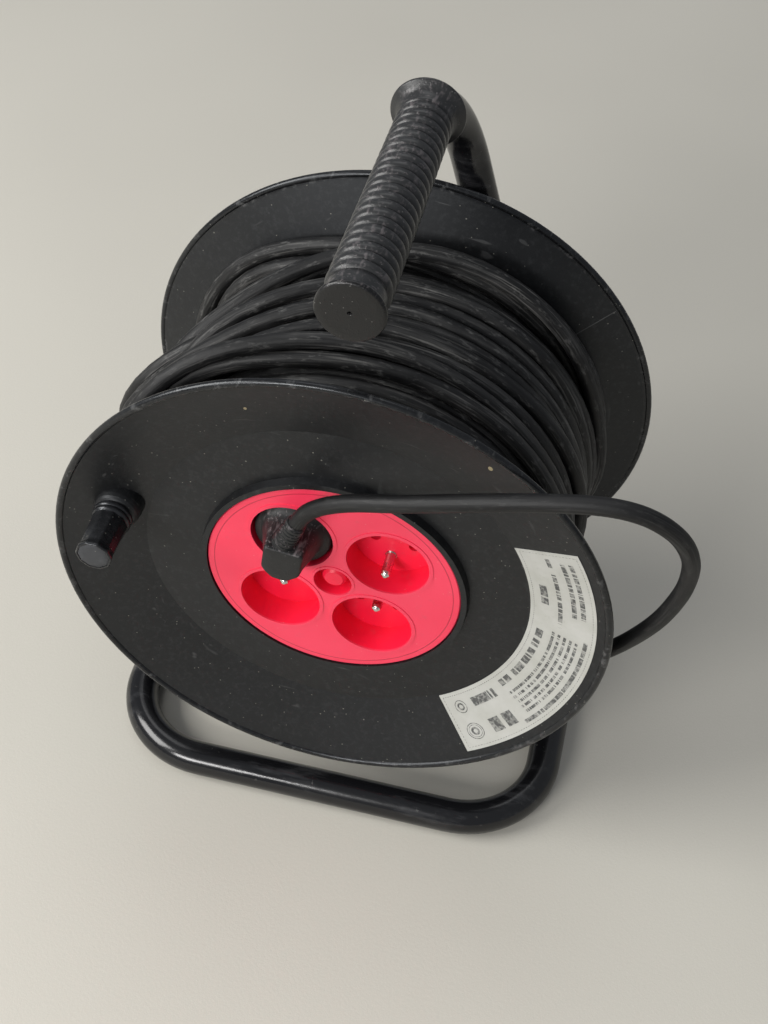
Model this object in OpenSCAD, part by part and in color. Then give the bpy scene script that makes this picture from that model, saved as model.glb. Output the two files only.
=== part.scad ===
// Extension cord reel: a cable drum with a four-way socket plate on a bent steel tube frame.
// The drum turns on a stub axle; a crank knob on its front flange winds the cable.
// Axes: X to the right, Y from the front to the back, Z up. The frame stands on Z = 0.

/* [Frame] */
// Outside diameter of the frame tube
tube_d = 18.4; // [18:0.2:19]
// Wall thickness of the frame tube
tube_wall = 1.5; // [1.2:0.1:2]
// Width of the base between the centrelines of its side bars
base_w = 231; // [225:1:245]
// Distance of the front base bar in front of the origin
base_front = 78.6; // [76:0.2:82]
// Centreline radius of the bends in the base
base_bend_r = 45.5; // [42:0.5:50]
// Height of the drum axle above the floor
axle_h = 169.2; // [165:0.2:180]

/* [Handle] */
// Height of the handle's centreline above the floor
handle_h = 352.5; // [345:0.5:370]
// Sideways offset of the handle from the drum axle
handle_x = 8; // [0:0.5:10]
// Centreline radius of the bend below the handle
handle_bend_r = 52; // [40:1:55]
// How far the grip reaches in front of the origin
grip_front = 88.6; // [84:0.2:92]
// Length of the rubber grip
grip_len = 141.6; // [136:0.2:144]
// Number of ribs round the grip
grip_ribs = 21; // [18:1:24]

/* [Drum] */
// Outside radius of both flanges
rim_r = 133.6; // [130:0.2:136]
// Distance of the front flange's rim in front of the origin
rim_front = 78.5; // [76:0.5:80]
// Distance of the rear flange's rim behind the origin
rim_back = 77.2; // [75:0.2:78]
// Depth from the rim to the flat middle of each flange
dish_d = 14.9; // [13:0.1:16]
// Radius where the flat middle meets the cone
dish_r = 93; // [90:0.5:96]
// Thickness of the flange sheet
flange_t = 2.5; // [2:0.1:3]
// Outside radius of the drum's core
core_r = 66; // [65:0.5:68]
// Outside diameter of the wound cable layers
winding_d = 214; // [200:1:216]

/* [Socket plate] */
// Radius of the socket plate
plate_r = 61.6; // [61:0.1:61.8]
// Distance of the plate's face behind the front rim
plate_d = 11.5; // [11:0.1:12]
// Distance from the plate's middle to each socket's middle
socket_r = 32.6; // [32:0.1:33]
// Turn of the plate about the drum axle
plate_turn = -7; // [-45:1:45]
// Radius of a socket recess
recess_r = 19.75; // [19.5:0.05:20]
// Depth of a socket recess
recess_d = 15; // [14:0.5:16]

/* [Crank] */
// Distance of the crank knob's axis from the drum axle
crank_r = 106.5; // [100:0.5:110]
// Angle of the crank knob about the drum axle
crank_angle = 166; // [150:1:180]
// Length that the knob stands proud of the front rim
knob_proud = 24.1; // [20:0.1:26]

/* [Cable] */
// Diameter of the cable
cable_d = 8; // [7.4:0.2:8.4]

/* [Hidden] */
$fn = 96;

// Frame
tube_r = tube_d / 2;
bore_r = tube_r - tube_wall;
knob_end = rim_front + knob_proud;
upright_y = knob_end - tube_r;
side_x = base_w / 2;
lean = atan((side_x - handle_x) / (handle_h - tube_r));
upright_len = (handle_h - tube_r) / cos(lean);
stub_len = (axle_h + 32 - tube_r) / cos(lean);
arm_front = grip_front - 5;
plate_front_z = -(upright_y - tube_r) + 3;
upright_x_at_axle = side_x - (axle_h - tube_r) * tan(lean);
tap_screw_spread = 11;
tap_screw_r = 3;
// Gap left between faces that touch
touch = 0.02;

// Grip
grip_bore = tube_r + 0.05;
cap_r = 14.4;
cap_len = 3.2;
cuff_r = 12.5;
cuff_len = 9;
flare_r = 17;
flare_len = 5;
rib_r = 13.6;
rib_groove = 0.9;
rib_taper = 0.9;

// Drum, in its own frame: z points to the front, along the axle
front_z = rim_front;
back_z = -rim_back;
bead_r = 1.9;
rim_step = 0.8;
cone_slope = (dish_d - rim_step) / (rim_r - bead_r - dish_r);
flat_front_z = front_z - dish_d;
flat_back_z = back_z + dish_d;
core_wall = 2.5;
core_front_z = flat_front_z - flange_t;
core_back_z = flat_back_z + flange_t;
collar_r = 64.6;
collar_proud = 0.8;
plate_z = front_z - plate_d;
plate_t = plate_z - flat_front_z;
ledge_r = 57;
cable_hole_r = 5.5;
lead_z = 11.6;
flange_screw_r = 58.5;
flange_screws_n = 6;
flange_screw_core_r = 1.7;
screw_boss_r = 6.2;

// Hub and axle
axle_r = 8;
thread_r = 6;
bush_r = 11;
hub_r = 17;
hub_front_z = -35;
bush_back_z = plate_front_z + 1.6;
bush_flange_t = 1.2;
hub_back_z = bush_back_z + bush_flange_t;
axle_end_z = -28.5;
clip_z = -32.6;

// Socket plate, turned by plate_turn in the drum's frame
socket_off = socket_r / sqrt(2);
sockets = [[1, 1], [-1, 1], [-1, -1], [1, -1]];
cup_wall = 2;
recess_z = plate_z - recess_d;
pin_gap = 19;
pin_r = 2.4;
contact_r = 2.5;
sleeve_r = 3.4;
earth_off = 10;
earth_len = 14;
earth_root_r = 2.9;
socket_rim_r = 21.6;
button_recess_r = 9.3;
button_recess_d = 8;
button_recess_z = plate_z - button_recess_d;
button_r = 5.8;
button_wall = 2.5;
post_off = 46;
post_r = 4;
cover_z = 17;
cover_r = 60;
cover_top_z = recess_z - 3.3;
live_z = 35;
neutral_z = 31;
earth_z = 44;
bar_t = 1;

// Crank
knob_r = 8.6;
crank_pin_r = 3;
boss_z = front_z - 3;
boss_h = boss_z - core_front_z;
neck_r = 7;
knob_head_z = knob_end - 8.6;

// Plug, parked in the upper left socket
plug_disc_r = 18.4;
plug_front_z = plate_z + 19;
plug_half_w = 9.3;
relief_tilt = 22.7;
relief_r = 5.7;
relief_base = [-21.5, 33.4, plate_z + 13];
relief_len = 18.5;
relief_ribs = 9;

// Cable
cable_r = cable_d / 2;
winding_r = winding_d / 2;
// Middle of the cable from the plug's strain relief, round the loop, back to the winding
tail_points = [[-14.4, -80, 219.7], [-10.6, -80.4, 227.2], [-5.4, -81.3, 233.4], [2.4, -83, 240],
    [14, -85.2, 246.8],
    [34, -89, 256], [56, -91, 265], [86, -92, 275], [112, -92, 281], [130, -91, 280],
    [144, -88, 271], [153, -84, 257], [157, -78, 238], [156, -72, 214], [149, -65, 184],
    [134, -57, 151], [111, -51, 121], [84, -47, 97]];
tail_steps = 4;
tail_sides = 12;

// Children placed in the drum's frame: x right, y up, z towards the front
module in_drum() {
    translate([0, 0, axle_h]) rotate([90, 0, 0]) children();
}

// Children turned with the socket plate
module in_plate() {
    in_drum() rotate([0, 0, plate_turn]) children();
}

// Children at the middle of every socket; $up is 1 for the upper pair
module at_sockets() {
    for (s = sockets) {
        $up = s[1];
        translate([s[0] * socket_off, s[1] * socket_off, 0]) children();
    }
}

// A tube or cylinder between two heights
module rod(r, z0, z1) {
    translate([0, 0, z0]) cylinder(r = r, h = z1 - z0);
}

module ring(r_out, r_in, z0, z1) {
    difference() {
        rod(r_out, z0, z1);
        rod(r_in, z0 - 1, z1 + 1);
    }
}

// Quarter bend in the YZ plane, from angle a0, centred at [y, z]
module bend_yz(r, bend_r, y, z, a0) {
    translate([0, y, z]) rotate([90, 0, 90]) rotate([0, 0, a0])
        rotate_extrude(angle = 90) translate([bend_r, 0]) circle(r);
}

// One upright with its rear base bend, in the leaning plane of that side
module upright(side, r, len) {
    translate([side * side_x, 0, tube_r]) rotate([0, -side * lean, 0]) {
        bend_yz(r, base_bend_r, upright_y - base_bend_r, base_bend_r, -90);
        translate([0, upright_y, base_bend_r]) cylinder(r = r, h = len - base_bend_r);
    }
}

// The whole tube run with radius r: base loop, both uprights and the handle's arm
module tube_run(r, over) {
    bar_len = upright_y + base_front - 2 * base_bend_r;
    translate([-side_x + base_bend_r, -base_front, tube_r]) rotate([0, 90, 0])
        cylinder(r = r, h = base_w - 2 * base_bend_r);
    for (side = [-1, 1]) {
        translate([side * side_x, -base_front + base_bend_r, tube_r]) rotate([-90, 0, 0])
            cylinder(r = r, h = bar_len);
        translate([side * (side_x - base_bend_r), -base_front + base_bend_r, tube_r])
            rotate([0, 0, side > 0 ? -90 : 180])
            rotate_extrude(angle = 90) translate([base_bend_r, 0]) circle(r);
    }
    upright(-1, r, stub_len + over);
    upright(1, r, upright_len - handle_bend_r);
    translate([side_x, 0, tube_r]) rotate([0, -lean, 0]) {
        bend_yz(r, handle_bend_r, upright_y - handle_bend_r, upright_len - handle_bend_r, 0);
        translate([0, -arm_front - over, upright_len]) rotate([-90, 0, 0])
            cylinder(r = r, h = arm_front + over + upright_y - handle_bend_r);
    }
}

// Children at the four posts that hold the rear cover, in the drum's frame
module at_posts() {
    for (a = [0 : 90 : 270]) rotate([0, 0, plate_turn + a]) translate([post_off, 0, 0]) children();
}

// Children at the two tapping screws of each upright, in the drum's frame
module at_plate_screws() {
    for (side = [-1, 1], k = [-1, 1])
        translate([side * (upright_x_at_axle - k * tap_screw_spread * tan(lean)),
            k * tap_screw_spread, 0]) children();
}

module frame_tube() {
    color("#1c1c1e") difference() {
        tube_run(tube_r, 0);
        tube_run(bore_r, 1);
        in_drum() at_plate_screws() rod(tap_screw_r + touch, plate_front_z - 12, plate_front_z);
    }
}

// Plastic plug that closes the open end of the left upright
module tube_cap() {
    color("#202022") translate([-side_x, 0, tube_r]) rotate([0, lean, 0])
        translate([0, upright_y, stub_len]) {
            rotate_extrude() polygon([[0, 0.02], [tube_r, 0.02], [tube_r, 1.6], [tube_r - 1.6, 3.2],
                [0, 4]]);
            rod(bore_r - 0.05, -12, 0.5);
        }
}

// Grip profile in [radius, distance from the front end]
function rib_points(i, pitch, start) = let (
    y = start + i * pitch,
    r = rib_r - rib_taper * i / grip_ribs)
    [[r - rib_groove, y], [r - rib_groove, y + 0.25 * pitch], [r, y + 0.5 * pitch],
     [r, y + 0.8 * pitch]];

module handle_grip() {
    ribs_start = cap_len + cuff_len;
    pitch = (grip_len - ribs_start - flare_len - 4) / grip_ribs;
    outline = [
        [0.8, 0], [cap_r - 1, 0], [cap_r, 1], [cap_r, cap_len - 0.6], [cuff_r, cap_len],
        [cuff_r, ribs_start],
        for (i = [0 : grip_ribs - 1]) for (p = rib_points(i, pitch, ribs_start)) p,
        [rib_r - rib_taper - rib_groove, grip_len - flare_len - 4],
        [rib_r - rib_taper, grip_len - flare_len], [flare_r, grip_len - 2],
        [flare_r, grip_len], [0, grip_len], [0, 1], [0.8, 1]];
    color("#2c2c2d") difference() {
        translate([handle_x, -grip_front, handle_h]) rotate([-90, 0, 0])
            rotate_extrude() polygon(outline);
        tube_run(grip_bore, 0.05);
    }
}

// Flat steel bar across both uprights that carries the axle
module axle_plate() {
    half_w = upright_x_at_axle + 17;
    half_h = 20;
    corner = 8;
    color("#26262a") in_drum() difference() {
        union() {
            translate([-half_w, -half_h + corner, plate_front_z - 3])
                cube([2 * half_w, 2 * (half_h - corner), 3]);
            translate([-half_w + corner, -half_h, plate_front_z - 3])
                cube([2 * (half_w - corner), 2 * half_h, 3]);
            for (sx = [-1, 1], sy = [-1, 1])
                translate([sx * (half_w - corner), sy * (half_h - corner), 0])
                    rod(corner, plate_front_z - 3, plate_front_z);
        }
        rod(thread_r + 0.1, plate_front_z - 4, plate_front_z + 1);
        at_plate_screws() rod(tap_screw_r + 0.2, plate_front_z - 4, plate_front_z + 1);
    }
}

// Hexagon-headed tapping screws through the plate into the front wall of each upright
module plate_screws() {
    color("#b9bcc0") in_drum() at_plate_screws() {
        translate([0, 0, plate_front_z + touch]) cylinder(r = 5.2, h = 3.4, $fn = 6);
        rod(tap_screw_r, plate_front_z - 9, plate_front_z + 0.5);
    }
}

// Stub axle: smooth shoulder in the hub, threaded end through the plate
module axle() {
    color("#c4c7ca") in_drum() difference() {
        union() {
            rod(axle_r, plate_front_z + 0.01, axle_end_z);
            rod(thread_r, plate_front_z - 14, plate_front_z + 1);
        }
        ring(axle_r + 1, axle_r - 0.8, clip_z, clip_z + 1.3);
    }
}

module axle_nut() {
    color("#b9bcc0") in_drum() translate([0, 0, plate_front_z - 13]) difference() {
        cylinder(r = 10.4, h = 8.4, $fn = 6);
        translate([0, 0, -1]) cylinder(r = thread_r + touch, h = 12);
    }
}

// Washers: under the nut, behind the hub and in front of the hub
module axle_washers() {
    color("#a9acb0") in_drum() {
        ring(12, thread_r + 0.05, plate_front_z - 4.55, plate_front_z - 3.02);
        ring(13.5, axle_r + 0.05, plate_front_z + touch, plate_front_z + 1.3);
        ring(13.5, axle_r + 0.05, clip_z - 1.3, clip_z - touch);
    }
}

// Retaining ring in the axle's groove
module axle_clip() {
    color("#4a4a4e") in_drum() difference() {
        ring(11, axle_r - 0.75, clip_z + 0.05, clip_z + 1.25);
        translate([0, 9, clip_z]) cube([5, 8, 6], center = true);
    }
}

// Sheet of a flange, as [radius, z] of its outer then its inner face, for a rim at z and a dish
// that runs towards side * -1
function sheet(r0, z_flat, z_rim, side) = [
    [r0, z_flat], [dish_r, z_flat], [rim_r - bead_r, z_rim - side * rim_step],
    [rim_r - bead_r, z_rim - side * (rim_step + flange_t)],
    [dish_r + 0.6, z_flat - side * flange_t], [r0, z_flat - side * flange_t]];

// Crank boss in [radius, height above the back of the flange's middle]
boss_outline = [[0, 0], [11.6, 0], [11.4, boss_h - 6], [11, boss_h - 3.6], [10.4, boss_h - 2],
    [9.6, boss_h - 0.9], [8.6, boss_h - 0.25], [7.6, boss_h], [0, boss_h]];

// Front flange with the collar and the ledge that hold the socket plate, and the crank boss
module front_flange() {
    color("#232325") in_drum() difference() {
        union() {
            rotate_extrude() {
                polygon(sheet(ledge_r, flat_front_z, front_z, 1));
                translate([rim_r - bead_r, front_z - bead_r]) circle(bead_r);
                polygon([[plate_r + 0.3, core_front_z], [collar_r + 0.8, core_front_z],
                    [collar_r + 0.8, flat_front_z], [collar_r, plate_z + collar_proud],
                    [plate_r + 0.3, plate_z + collar_proud]]);
            }
            rotate([0, 0, crank_angle]) translate([crank_r, 0, core_front_z])
                rotate_extrude() polygon(boss_outline);
        }
        rotate_extrude() polygon([[dish_r - 20, core_front_z - 9], [dish_r - 20, core_front_z],
            [dish_r + 0.6, core_front_z], [rim_r - bead_r, front_z - rim_step - flange_t],
            [rim_r + 9, front_z - rim_step - flange_t], [rim_r + 9, core_front_z - 9]]);
        rotate([0, 0, crank_angle]) translate([crank_r, 0, 0])
            rod(crank_pin_r + touch, flat_front_z + 4.4, boss_z + 1);
    }
}

// Rear flange with its hub, ribs and screw holes
module rear_flange() {
    rib_h = 9;
    color("#232325") in_drum() difference() {
        union() {
            rotate_extrude() {
                polygon(sheet(bush_r, flat_back_z, back_z, -1));
                translate([rim_r - bead_r, back_z + bead_r]) circle(bead_r);
            }
            rod(hub_r, hub_back_z, hub_front_z);
            for (a = [0 : 60 : 300]) rotate([0, 0, a])
                translate([hub_r - 2, -1.2, flat_back_z - rib_h]) cube([44, 2.4, rib_h + 0.5]);
        }
        rod(bush_r, hub_back_z - 1, hub_front_z + 1);
        at_flange_screws() rod(2.2, flat_back_z - 1, core_back_z + 1);
    }
}

module at_flange_screws() {
    for (k = [0 : flange_screws_n - 1])
        rotate([0, 0, 30 + k * 360 / flange_screws_n]) translate([flange_screw_r, 0, 0]) children();
}

// Barrel that the cable is wound on, with screw bosses and the hole for the cable's inner end
module drum_core() {
    boss_len = 20;
    color("#1f1f21") in_drum() difference() {
        union() {
            ring(core_r, core_r - core_wall, core_back_z + touch, core_front_z - touch);
            at_flange_screws() rod(screw_boss_r, core_back_z + touch, core_back_z + boss_len);
        }
        at_flange_screws() rod(flange_screw_core_r + touch, core_back_z - 1, core_back_z + boss_len - 3);
        translate([0, -core_r + 6, lead_z]) rotate([90, 0, 0]) cylinder(r = cable_hole_r, h = 10);
    }
}

module flange_screws() {
    color("#b9bcc0") in_drum() at_flange_screws() {
        rod(3.8, flat_back_z - 2.4, flat_back_z - touch);
        rod(flange_screw_core_r, flat_back_z - 1, core_back_z + 14);
    }
}

// Flanged plain bush pressed into the hub
module hub_bush() {
    color("#d8d4c6") in_drum() rotate_extrude() polygon([
        [axle_r + 0.06, bush_back_z], [15, bush_back_z], [15, hub_back_z - touch],
        [bush_r - 0.01, hub_back_z - touch], [bush_r - 0.01, hub_front_z + 0.3],
        [axle_r + 0.06, hub_front_z + 0.3]]);
}

// Thin printed label on the cone of the front flange
module rating_label() {
    r0 = dish_r + 0.9;
    r1 = 126;
    z0 = flat_front_z + (r0 - dish_r) * cone_slope + 0.04;
    z1 = flat_front_z + (r1 - dish_r) * cone_slope + 0.04;
    color("#cfd0cb") in_drum() rotate([0, 0, -53]) rotate_extrude(angle = 82.5)
        polygon([[r0, z0], [r1, z1], [r1, z1 + 0.25], [r0, z0 + 0.25]]);
}

module at_crank() {
    in_drum() rotate([0, 0, crank_angle]) translate([crank_r, 0, 0]) children();
}

// Shouldered pin pressed into the flange's boss; the knob turns on it
module crank_pin() {
    color("#b9bcc0") at_crank() {
        rod(crank_pin_r, flat_front_z + 4.6, knob_head_z + 0.5);
        rod(4.6, knob_head_z + 0.3, knob_head_z + 3);
    }
}

module crank_knob() {
    neck_z = boss_z + 0.3;
    color("#242426") at_crank() difference() {
        union() {
            rod(neck_r, neck_z, neck_z + 2.4);
            translate([0, 0, neck_z + 2.2]) cylinder(r = knob_r, h = knob_end - 2.2 - neck_z - 2.2,
                $fn = 10);
        }
        rod(crank_pin_r + 0.06, neck_z - 1, knob_head_z);
        rod(4.9, knob_head_z, knob_end);
    }
}

module knob_cap() {
    color("#3a3a3c") at_crank() {
        rod(knob_r - 0.4, knob_end - 2.15, knob_end);
        rod(4.85, knob_end - 5, knob_end - 2);
    }
}

// Red plate with four socket recesses and a middle recess for the reset button
module socket_plate() {
    lip = 0.35;
    color("#c8203c") in_plate() difference() {
        union() {
            rotate_extrude() polygon([[0, plate_z - plate_t + touch], [plate_r, plate_z - plate_t + touch],
                [plate_r, plate_z - 0.6], [plate_r - 0.6, plate_z], [0, plate_z]]);
            at_sockets() {
                rod(recess_r + cup_wall, recess_z - 3, plate_z - 1);
                rod(socket_rim_r, plate_z - 1, plate_z + lip);
            }
            rod(button_recess_r + 1.3, button_recess_z - button_wall, plate_z + lip);
            rotate([0, 0, -plate_turn]) at_posts() rod(post_r, cover_top_z + touch, plate_z - 1);
        }
        at_sockets() {
            rod(recess_r, recess_z, plate_z + 2);
            for (s = [-1, 1]) translate([s * pin_gap / 2, 0, 0]) rod(2.6, recess_z - 4, plate_z);
            translate([0, -$up * earth_off, 0]) rod(earth_root_r + touch, recess_z - 4, plate_z);
        }
        rod(button_recess_r, button_recess_z, plate_z + 2);
        rod(button_r + 0.08, button_recess_z - 4, plate_z);
        rotate([0, 0, -plate_turn]) at_posts() rod(1.5, cover_top_z - 1, cover_top_z + 10);
    }
}

module at_earth() {
    in_plate() at_sockets() translate([0, -$up * earth_off, 0]) children();
}

// Earth pins with domed tips
module earth_pins() {
    color("#cfd2d4") at_earth() rotate_extrude() polygon([[0, earth_z], [earth_root_r, earth_z],
        [earth_root_r, recess_z], [pin_r, recess_z], [pin_r, recess_z + earth_len - 2],
        [1.9, recess_z + earth_len - 0.9], [1, recess_z + earth_len - 0.2],
        [0, recess_z + earth_len]]);
}

// Sprung sleeves behind the pin holes: the left of each socket is live, the right is neutral
module contact_sleeves() {
    color("#c9a24a") in_plate() at_sockets() for (s = [-1, 1]) translate([s * pin_gap / 2, 0, 0])
        ring(sleeve_r, contact_r, (s < 0 ? live_z : neutral_z) + bar_t + touch, recess_z - 3.02);
}

// Busbar under the sleeves on one side of every socket, with a link across at y = link
module busbar(side, z, link) {
    xs = [-socket_off + side * pin_gap / 2, socket_off + side * pin_gap / 2];
    for (x = xs) translate([x - 2.5, -socket_off - 3, z]) cube([5, 2 * socket_off + 6, bar_t]);
    translate([xs[0] - 2.5, link - 2, z]) cube([xs[1] - xs[0] + 5, 4, bar_t]);
}

module live_bar() {
    color("#b87333") in_plate() difference() {
        busbar(-1, live_z, 14);
        for (s = sockets) translate([s[0] * socket_off + pin_gap / 2, s[1] * socket_off, 0])
            rod(sleeve_r + 1.5, live_z - 1, live_z + bar_t + 1);
    }
}

module neutral_bar() {
    color("#c08a4a") in_plate() busbar(1, neutral_z, -14);
}

// Earth strip that joins the four earth pins
module earth_bar() {
    y = socket_off - earth_off;
    color("#c7b27a") in_plate() difference() {
        union() {
            for (sx = [-1, 1]) translate([sx * socket_off - 3.4, -y - 3, earth_z])
                cube([6.8, 2 * y + 6, bar_t]);
            translate([-socket_off, -y - 2, earth_z]) cube([2 * socket_off, 4, bar_t]);
        }
        at_sockets() translate([0, -$up * earth_off, 0])
            rod(earth_root_r + touch, earth_z - 1, earth_z + bar_t + 1);
    }
}

// Thermal cut-out behind the button
module thermal_cutout() {
    top = button_recess_z - 10.4;
    color("#2a2522") in_plate() difference() {
        translate([-8, -10, top - 22]) cube([16, 20, 22]);
        rod(2.3, top - 8, top + 1);
    }
}

module reset_button() {
    collar_z = button_recess_z - button_wall - 0.3 - 2;
    color("#d63048") in_plate() rotate_extrude() polygon([
        [0, button_recess_z - 14], [2, button_recess_z - 14], [2, collar_z], [7, collar_z],
        [7, collar_z + 2], [button_r, collar_z + 2], [button_r, plate_z - 3.2],
        [button_r - 1.4, plate_z - 1.8], [0, plate_z - 1.5]]);
}

// Return spring of the button, as the sleeve that its coils fill
module reset_spring() {
    top = button_recess_z - 4.8;
    color("#b9bcc0") in_plate() ring(4.6, 3.8, button_recess_z - 10.35, top - 0.05);
}

module terminal_block() {
    color("#dcdcd6") in_drum() difference() {
        translate([-10.5, 20, 24.7]) cube([21, 12, 5.8]);
        for (x = [-7, 0, 7]) translate([x, 26, 0]) rod(1.6, 27, 31);
    }
}

// Rear cover of the contacts, with the opening for the lead
module contact_cover() {
    color("#2b2b2d") difference() {
        in_drum() union() {
            ring(cover_r, cover_r - 2, cover_z, cover_top_z);
            rod(cover_r - 1, cover_z, cover_z + 2);
            at_posts() rod(post_r, cover_z, cover_top_z);
        }
        in_drum() translate([0, 23, 0]) rod(7.6, cover_z - 1, cover_z + 3);
        in_drum() at_posts() rod(1.8, cover_z - 1, cover_top_z + 1);
    }
}

module cover_screws() {
    color("#b9bcc0") in_drum() at_posts() {
        rod(3.2, cover_z - 2, cover_z - touch);
        rod(1.45, cover_z - 1, cover_top_z + 8);
    }
}

// Inner end of the cable, from the core's hole along the cover to the terminals
module inner_lead() {
    turn_r = 12;
    color("#2f2f30") in_drum() {
        translate([0, 26 - turn_r, lead_z]) rotate([90, 0, 0])
            cylinder(r = cable_r, h = core_r - 2 + 26 - turn_r);
        translate([0, 26 - turn_r, lead_z + turn_r]) rotate([90, 0, 90]) rotate([0, 0, -90])
            rotate_extrude(angle = 86) translate([turn_r, 0]) circle(cable_r);
    }
}

module at_clamp_screws() {
    for (s = [-1, 1]) translate([s * 9, -34, 0]) children();
}

// Saddle that clamps the lead against the cover
module lead_clamp() {
    color("#d0cfc8") in_drum() difference() {
        translate([-13, -38, lead_z - cable_r - 2]) cube([26, 8, cover_z - 0.1 - lead_z + cable_r + 2]);
        translate([0, 0, lead_z]) rotate([90, 0, 0]) cylinder(r = cable_r + 0.03, h = 60);
        translate([-cable_r - 0.03, -40, lead_z]) cube([2 * cable_r + 0.06, 12, 8]);
        at_clamp_screws() rod(1.6, 0, 30);
    }
}

module clamp_screws() {
    color("#b9bcc0") in_drum() at_clamp_screws() {
        rod(2.8, lead_z - cable_r - 4, lead_z - cable_r - 2.02);
        rod(1.5, lead_z - cable_r - 3, cover_z - 0.1);
    }
}

// Children along the strain relief's axis, which starts inside the top of the plug
module at_relief() {
    in_drum() translate(relief_base) rotate([-90, 0, -relief_tilt]) children();
}

// Moulded plug body: disc in the recess, taper, block that the hand holds, earth pin's hole
module plug_body() {
    floor_z = recess_z + 0.3;
    block_top = 10.8;
    block_low = -9.2;
    cut = 4;
    color("#2e2e2f") difference() {
        in_plate() translate([-socket_off, socket_off, 0]) difference() {
            union() {
                rod(plug_disc_r, floor_z, plate_z - 2.5);
                translate([0, 0, plate_z - 3]) cylinder(r1 = 16.8, r2 = plug_half_w - 0.8, h = 20);
                translate([0, 0, plate_z - 3]) linear_extrude(plug_front_z - plate_z + 3)
                    polygon([[-plug_half_w, block_top], [-plug_half_w, block_low + cut],
                        [-plug_half_w + cut, block_low], [plug_half_w - cut, block_low],
                        [plug_half_w, block_low + cut], [plug_half_w, block_top]]);
            }
            translate([0, -earth_off, 0]) rod(pin_r + 0.25, floor_z - 1, recess_z + earth_len + 0.6);
            for (s = [-1, 1]) translate([s * pin_gap / 2, 0, 0])
                rod(pin_r + touch, floor_z - 1, floor_z + 8);
        }
        at_relief() rod(relief_r + touch, -3 - touch, relief_len);
    }
}

module plug_pins() {
    color("#cfd2d4") in_plate() translate([-socket_off, socket_off, 0])
        for (s = [-1, 1]) translate([s * pin_gap / 2, 0, 0]) rod(pin_r, recess_z - 12, recess_z + 8.2);
}

// One rib of the strain relief in [radius, height]
function relief_rib(k, pitch) = let (r = relief_r - 0.08 * k)
    [[r, k * pitch], [r, (k + 0.6) * pitch], [r - 0.5, (k + 0.7) * pitch],
     [r - 0.5, (k + 0.98) * pitch]];

// Ribbed strain relief on top of the plug, leaning to the right
module plug_relief() {
    pitch = relief_len / relief_ribs;
    color("#303031") at_relief() rotate_extrude() polygon([[0, -3], [relief_r, -3],
        for (k = [0 : relief_ribs - 1]) for (p = relief_rib(k, pitch)) p,
        [cable_r + 0.4, relief_len], [0, relief_len]]);
}

// Outer shape of the wound cable between the flanges
module cord_winding() {
    gap = 0.4;
    grow = (winding_r - 6 - dish_r) * cone_slope - gap;
    color("#343435") in_drum() rotate_extrude() polygon([
        [core_r + 0.1, core_back_z + gap], [dish_r, core_back_z + gap],
        [winding_r - 6, core_back_z - grow], [winding_r, core_back_z + 6],
        [winding_r, core_front_z - 6], [winding_r - 6, core_front_z + grow],
        [dish_r, core_front_z - gap], [core_r + 0.1, core_front_z - gap]]);
}

// Smooth curve through the tail's points
function smooth(a, b, c, d, t) = 0.5 * (2 * b + (c - a) * t + (2 * a - 5 * b + 4 * c - d) * t * t
    + (3 * b - a - 3 * c + d) * t * t * t);
function pick(p, i) = p[max(0, min(len(p) - 1, i))];
function route(p, n) = [
    for (i = [0 : len(p) - 2]) for (k = [0 : n - 1])
        smooth(pick(p, i - 1), p[i], p[i + 1], pick(p, i + 2), k / n),
    p[len(p) - 1]];
function unit(v) = v / norm(v);
function tangent(p, i) = unit(pick(p, i + 1) - pick(p, i - 1));

module swept_tube(p, r, sides) {
    side = [0, 1, 0];
    rings = [for (i = [0 : len(p) - 1])
        let (t = tangent(p, i), u = unit(cross(t, side)), v = cross(t, u))
        for (k = [0 : sides - 1])
            p[i] + r * (cos(360 * k / sides) * u + sin(360 * k / sides) * v)];
    last = (len(p) - 1) * sides;
    walls = [for (i = [0 : len(p) - 2], k = [0 : sides - 1]) let (j = (k + 1) % sides)
        [i * sides + k, i * sides + j, (i + 1) * sides + j, (i + 1) * sides + k]];
    first_cap = [for (k = [sides - 1 : -1 : 0]) k];
    last_cap = [for (k = [0 : sides - 1]) last + k];
    polyhedron(points = rings, faces = concat([first_cap, last_cap], walls), convexity = 6);
}

module cord_tail() {
    color("#343435") swept_tube(route(tail_points, tail_steps), cable_r, tail_sides);
}

frame_tube();
tube_cap();
handle_grip();
axle_plate();
plate_screws();
axle();
axle_nut();
axle_washers();
axle_clip();
front_flange();
rear_flange();
drum_core();
flange_screws();
hub_bush();
rating_label();
crank_pin();
crank_knob();
knob_cap();
socket_plate();
earth_pins();
contact_sleeves();
live_bar();
neutral_bar();
earth_bar();
thermal_cutout();
reset_button();
reset_spring();
terminal_block();
contact_cover();
cover_screws();
inner_lead();
lead_clamp();
clamp_screws();
plug_body();
plug_pins();
plug_relief();
cord_winding();
cord_tail();
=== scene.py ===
# Extension cord reel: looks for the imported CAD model, in metres, in the row frame
# (x to the right, y from the socket side to the back, z up, floor at z = 0).
import math

import bpy
import numpy as np
from mathutils import Matrix, Vector


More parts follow.
